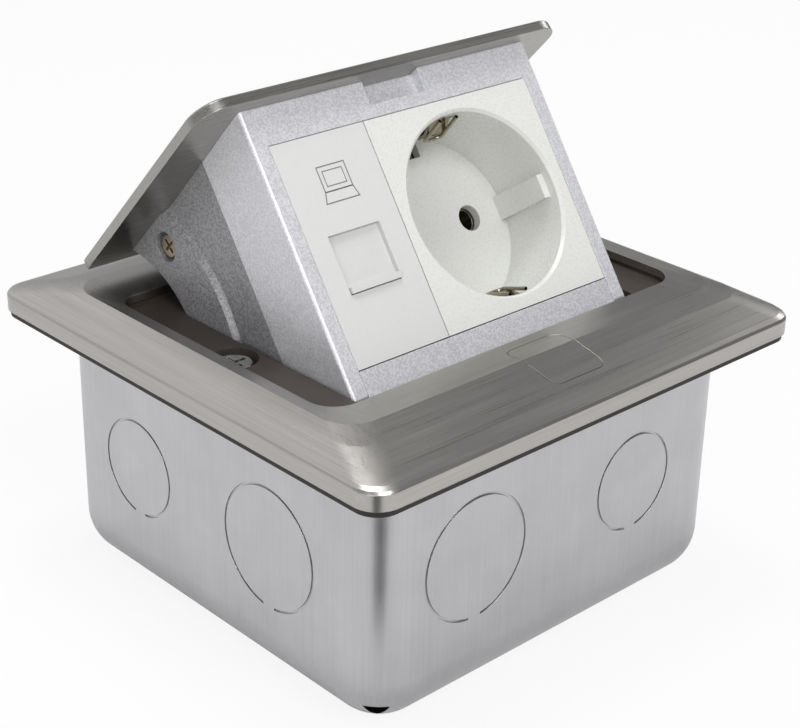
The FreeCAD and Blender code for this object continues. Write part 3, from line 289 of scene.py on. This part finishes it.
def earth_spring(name, side):
    """Looped strap of one side earth contact: two legs along the well's wall and a bowed crossing."""
    half, corner, near, far = 2.3, 1.3, -1.8, -9.0
    wall, bow = 18.7, 1.9
    route = [(-half, near, 0.0), (-half, far + corner, 0.75)]
    for step in range(1, 6):
        turn = step / 6 * math.pi / 2
        route.append((-half + corner * (1 - math.cos(turn)), far + corner * (1 - math.sin(turn)), 0.85))
    route += [(-half + corner, far, 1.0), (0.0, far, 1.0)]
    route += [(-x, out, lean) for x, out, lean in route[-2::-1]]
    data = bpy.data.curves.new(name, "CURVE")
    data.dimensions = "3D"
    data.bevel_depth = 0.42 * MM
    data.bevel_resolution = 3
    line = data.splines.new("POLY")
    line.points.add(len(route) - 1)
    for point, (x, out, lean) in zip(line.points, route):
        reach = wall - bow * math.sin(lean * math.pi / 2)
        point.co = (*on_face(SOCKET_X + x, SOCKET_DOWN + side * reach, out), 1.0)
    add_piece(name, data, nickel, "unit")


computer_sign()
earth_spring("earth_spring_upper", -1)
earth_spring("earth_spring_lower", 1)


# ---- Camera, floor and light ------------------------------------------------------
def soft_box(name, place, target, size, power):
    """Rectangular studio lamp, turned to face a point."""
    data = bpy.data.lights.new(name, "AREA")
    data.shape = "RECTANGLE"
    data.size, data.size_y = size
    data.energy = power
    lamp = bpy.data.objects.new(name, data)
    bpy.context.scene.collection.objects.link(lamp)
    lamp.location = place
    lamp.rotation_euler = (Vector(target) - lamp.location).to_track_quat("-Z", "Y").to_euler()


def flat_sheet(name, corners):
    """Four-cornered sheet of the studio, which is no piece of the object."""
    mesh = bpy.data.meshes.new(name)
    mesh.from_pydata(corners, [], [(0, 1, 2, 3)])
    sheet = bpy.data.objects.new(name, mesh)
    bpy.context.scene.collection.objects.link(sheet)
    return sheet


def studio_floor():
    """Pale paper floor. Part of it glows, more to the camera and less in reflections, so it
    shows nearly white and still keeps the object's shadow."""
    camera_glow = 0.88
    reflected_glow = 0.15
    reach = 3.0
    floor = flat_sheet("studio_floor", [(-reach, -reach, 0), (reach, -reach, 0), (reach, reach, 0),
                                        (-reach, reach, 0)])
    material = bpy.data.materials.new("white_paper_sweep")
    material.use_nodes = True
    tree = material.node_tree
    tree.nodes.clear()
    paper = add_node(tree, "ShaderNodeBsdfDiffuse", Color=colour("E6E6E6"))
    glow = add_node(tree, "ShaderNodeEmission", Strength=1.0)
    path = add_node(tree, "ShaderNodeLightPath")
    seen = add_node(tree, "ShaderNodeMath", {"operation": "MAXIMUM"}, i0=path.outputs["Is Camera Ray"],
                    i1=path.outputs["Is Transmission Ray"])
    plain = add_node(tree, "ShaderNodeMath", {"operation": "MULTIPLY"}, i0=seen.outputs[0], i1=camera_glow)
    gloss = add_node(tree, "ShaderNodeMath", {"operation": "MULTIPLY"}, i0=path.outputs["Is Glossy Ray"],
                     i1=reflected_glow)
    share = add_node(tree, "ShaderNodeMath", {"operation": "MAXIMUM"}, i0=plain.outputs[0],
                     i1=gloss.outputs[0])
    mixed = add_node(tree, "ShaderNodeMixShader", i0=share.outputs[0], i1=paper.outputs[0],
                     i2=glow.outputs[0])
    add_node(tree, "ShaderNodeOutputMaterial", Surface=mixed.outputs[0])
    floor.data.materials.append(material)


def black_flag():
    """Dark grey card on the floor before the front corner, seen only in reflections: the darker
    band that the round corner mirrors between its two bright sides."""
    heading = Vector((-0.684, -0.729, 0))
    across = Vector((0.729, -0.684, 0))
    start = Vector((-0.05, -0.05, 0.0002))
    near, near_half = 0.035, 0.008
    far, far_half = 0.6, 0.15
    corners = [start + heading * near - across * near_half, start + heading * near + across * near_half,
               start + heading * far + across * far_half, start + heading * far - across * far_half]
    flag = flat_sheet("black_flag", corners)
    material = bpy.data.materials.new("black_felt_flag")
    material.use_nodes = True
    tree = material.node_tree
    tree.nodes.clear()
    felt = add_node(tree, "ShaderNodeBsdfDiffuse", Color=colour("4E4E4E"))
    add_node(tree, "ShaderNodeOutputMaterial", Surface=felt.outputs[0])
    flag.data.materials.append(material)
    flag.visible_camera = False
    flag.visible_diffuse = False
    flag.visible_shadow = False


def studio_world():
    """Studio with a large bright window behind and above, dim all round, white to the camera."""
    dim, bright = 0.27, 1.0
    world = bpy.data.worlds.new("pale_studio")
    bpy.context.scene.world = world
    world.use_nodes = True
    tree = world.node_tree
    tree.nodes.clear()
    place = add_node(tree, "ShaderNodeTexCoord")
    side = add_node(tree, "ShaderNodeVectorMath", {"operation": "DOT_PRODUCT"}, i0=place.outputs["Generated"],
                    i1=(-0.3, 0.8, 0.5))
    level = add_node(tree, "ShaderNodeMapRange", Value=side.outputs["Value"], From_Min=0.5, From_Max=0.9,
                     To_Min=dim, To_Max=bright)
    light = add_node(tree, "ShaderNodeBackground", Color=colour("F4F4F6"), Strength=level.outputs["Result"])
    white = add_node(tree, "ShaderNodeBackground", Color=colour("FFFFFF"), Strength=1.0)
    path = add_node(tree, "ShaderNodeLightPath")
    mixed = add_node(tree, "ShaderNodeMixShader", i0=path.outputs["Is Camera Ray"], i1=light.outputs[0],
                     i2=white.outputs[0])
    add_node(tree, "ShaderNodeOutputWorld", Surface=mixed.outputs[0])


def studio_camera():
    data = bpy.data.cameras.new("camera")
    data.sensor_width = 36
    data.lens = 83.607
    camera = bpy.data.objects.new("camera", data)
    bpy.context.scene.collection.objects.link(camera)
    camera.location = (-0.24049, -0.25643, 0.21488)
    camera.rotation_euler = [math.radians(turn) for turn in (64.4225, -1.0457, -42.8798)]
    bpy.context.scene.camera = camera


studio_camera()
studio_floor()
black_flag()
studio_world()
centre = (0, 0, 0.06)
soft_box("key_softbox", (-0.2, -0.95, 1.0), centre, (0.7, 0.6), 8.7)
soft_box("fill_softbox", (-0.95, -0.55, 0.45), centre, (0.5, 0.4), 2.6)
soft_box("top_softbox", (0.0, 0.1, 1.1), centre, (0.4, 0.4), 4.5)
soft_box("right_softbox", (1.2, 0.1, 0.65), centre, (0.4, 0.3), 1.6)
bpy.context.scene.view_settings.view_transform = "Standard"
